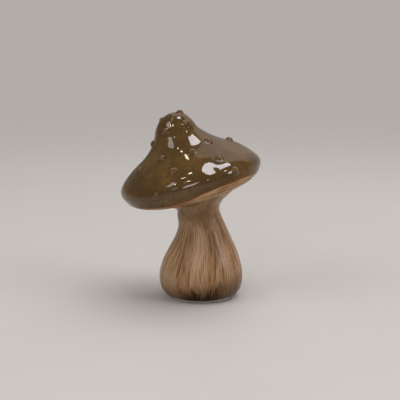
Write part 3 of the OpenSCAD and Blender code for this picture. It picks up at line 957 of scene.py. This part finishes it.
def make_lamp(name, direction, distance, width, height, seen, tint):
    """A flat lamp that faces the mushroom. Its power is pi x area x the brightness seen."""
    light = bpy.data.lights.new(name, "AREA")
    bulb = width < BULB_WIDTH
    light.shape = "DISK" if bulb else "RECTANGLE"
    light.size = width
    if not bulb:
        light.size_y = height
    area = np.pi * (width / 2) ** 2 if bulb else width * height
    light.energy = float(np.pi * area * seen)
    light.color = tint
    lamp = bpy.data.objects.new(name, light)
    way = Vector(direction).normalized()
    lamp.location = STAGE_CENTRE + way * distance
    lamp.rotation_euler = way.to_track_quat("Z", "Y").to_euler()
    lamp.visible_diffuse = name in SOFT_ONLY + LIGHT_TOO
    lamp.visible_glossy = name not in SOFT_ONLY
    bpy.context.scene.collection.objects.link(lamp)


def make_room(colours):
    """The room's own light: dim and warm all round, and pale behind the mushroom and to the
    right, brightest overhead. The pale side's front edge is where a direction's share along
    PALE_SIDE passes PALE_EDGE, and its left edge where X passes PALE_LEFT. Past the floor's
    end the camera sees the far floor's tone."""
    world = bpy.data.worlds.new("room")
    world.use_nodes = True
    tree = world.node_tree
    towards = tree.nodes.new("ShaderNodeTexCoord").outputs["Generated"]
    share = add(tree, "ShaderNodeVectorMath", {0: towards, 1: PALE_SIDE},
                operation="DOT_PRODUCT").outputs["Value"]
    parts = parts_of(tree, towards)
    pale = math(tree, "MULTIPLY", ramp(tree, share, PALE_EDGE - 0.02, PALE_EDGE + 0.02),
                ramp(tree, parts["X"], PALE_LEFT - 0.05, PALE_LEFT + 0.05))
    pale = math(tree, "MULTIPLY", pale, ramp(tree, parts["Z"], 0.2, 0.95, 0.3, 1.1))
    light = mix(tree, pale, ROOM_DIM, ROOM_PALE)
    seen = tree.nodes.new("ShaderNodeLightPath").outputs["Is Camera Ray"]
    light = mix(tree, seen, light, colours.far_floor)
    tree.links.new(light, tree.nodes["Background"].inputs["Color"])
    return world


def make_stage(sizes, colours):
    half = sizes.floor / 2
    mesh = bpy.data.meshes.new("floor")
    mesh.from_pydata([(-half, -half, 0), (half, -half, 0), (half, half, 0), (-half, half, 0)],
                     [], [(0, 1, 2, 3)])
    floor = bpy.data.objects.new("floor", mesh)
    bpy.context.scene.collection.objects.link(floor)
    mesh.materials.append(floor_material(colours))
    for lamp in LAMPS:
        make_lamp(*lamp)
    bpy.context.scene.world = make_room(colours)
    bpy.context.scene.view_settings.view_transform = "Standard"
    camera = bpy.data.cameras.new("camera")
    camera.lens, camera.sensor_width = LENS, SENSOR
    camera.clip_start, camera.clip_end = NEAREST_SEEN, FURTHEST_SEEN
    view = bpy.data.objects.new("camera", camera)
    view.location = CAMERA_PLACE
    view.rotation_euler = (CAMERA_TILT, 0, 0)
    bpy.context.scene.collection.objects.link(view)
    bpy.context.scene.camera = view


# ---------------------------------------------------------------- operators and panel

def settings(context):
    return context.scene.mushroom_sizes, context.scene.mushroom_colours


class MUSHROOM_OT_cap(bpy.types.Operator):
    """Adds the glazed bell cap"""
    bl_idname = "mushroom.cap"
    bl_label = "Glazed Cap"
    bl_options = {"REGISTER", "UNDO"}

    def execute(self, context):
        sizes, colours = settings(context)
        settle(make_cap(sizes), "cap_glaze", glaze_material("Cap glaze", colours, 0.5),
               "cap_top")
        return {"FINISHED"}


class MUSHROOM_OT_beads(bpy.types.Operator):
    """Adds the raised beads on the cap"""
    bl_idname = "mushroom.beads"
    bl_label = "Beads"
    bl_options = {"REGISTER", "UNDO"}

    def execute(self, context):
        sizes, colours = settings(context)
        material = glaze_material("Bead glaze", colours, 0.6)
        for number in range(len(BEADS)):
            settle(make_bead(number, sizes), "spot_glaze", material,
                   f"spot_{number + 1:02d}")
        return {"FINISHED"}


class MUSHROOM_OT_underside(bpy.types.Operator):
    """Adds the brushed dish under the cap"""
    bl_idname = "mushroom.underside"
    bl_label = "Brushed Underside"
    bl_options = {"REGISTER", "UNDO"}

    def execute(self, context):
        sizes, colours = settings(context)
        settle(make_underside(sizes), "underside_wash", underside_material(colours),
               "cap_underside")
        return {"FINISHED"}


class MUSHROOM_OT_stem(bpy.types.Operator):
    """Adds the brushed stem"""
    bl_idname = "mushroom.stem"
    bl_label = "Brushed Stem"
    bl_options = {"REGISTER", "UNDO"}

    def execute(self, context):
        sizes, colours = settings(context)
        settle(make_stem(sizes), "stem_wash", stem_material(colours), "stem")
        return {"FINISHED"}


class MUSHROOM_OT_foot(bpy.types.Operator):
    """Gives the foot disc its bare clay"""
    bl_idname = "mushroom.foot"
    bl_label = "Bare Clay Foot"
    bl_options = {"REGISTER", "UNDO"}

    def execute(self, context):
        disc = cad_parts["base_disc"]
        disc.data.materials.clear()
        disc.data.materials.append(clay_material(settings(context)[1]))
        return {"FINISHED"}


class MUSHROOM_OT_stage(bpy.types.Operator):
    """Adds the floor, the lamps and the camera"""
    bl_idname = "mushroom.stage"
    bl_label = "Stage"
    bl_options = {"REGISTER", "UNDO"}

    def execute(self, context):
        make_stage(*settings(context))
        return {"FINISHED"}


OPERATORS = (MUSHROOM_OT_cap, MUSHROOM_OT_beads, MUSHROOM_OT_underside,
             MUSHROOM_OT_stem, MUSHROOM_OT_foot, MUSHROOM_OT_stage)


class MUSHROOM_PT_panel(bpy.types.Panel):
    """Lists the mushroom's pieces, sizes and colours"""
    bl_idname = "MUSHROOM_PT_panel"
    bl_label = "Ceramic Mushroom"
    bl_space_type = "VIEW_3D"
    bl_region_type = "UI"
    bl_category = "Mushroom"

    def draw(self, context):
        for operator in OPERATORS:
            self.layout.operator(operator.bl_idname)
        for group in (context.scene.mushroom_sizes, context.scene.mushroom_colours):
            box = self.layout.box()
            for name in group.__annotations__:
                box.prop(group, name)


CLASSES = (MushroomSizes, MushroomColours, *OPERATORS, MUSHROOM_PT_panel)


def register():
    for item in CLASSES:
        bpy.utils.register_class(item)
    bpy.types.Scene.mushroom_sizes = bpy.props.PointerProperty(type=MushroomSizes)
    bpy.types.Scene.mushroom_colours = bpy.props.PointerProperty(type=MushroomColours)


def unregister():
    del bpy.types.Scene.mushroom_sizes
    del bpy.types.Scene.mushroom_colours
    for item in reversed(CLASSES):
        bpy.utils.unregister_class(item)


def main():
    register()
    for operator in OPERATORS:
        name = operator.bl_idname.split(".")[1]
        getattr(bpy.ops.mushroom, name)()


if __name__ == "__main__":
    main()
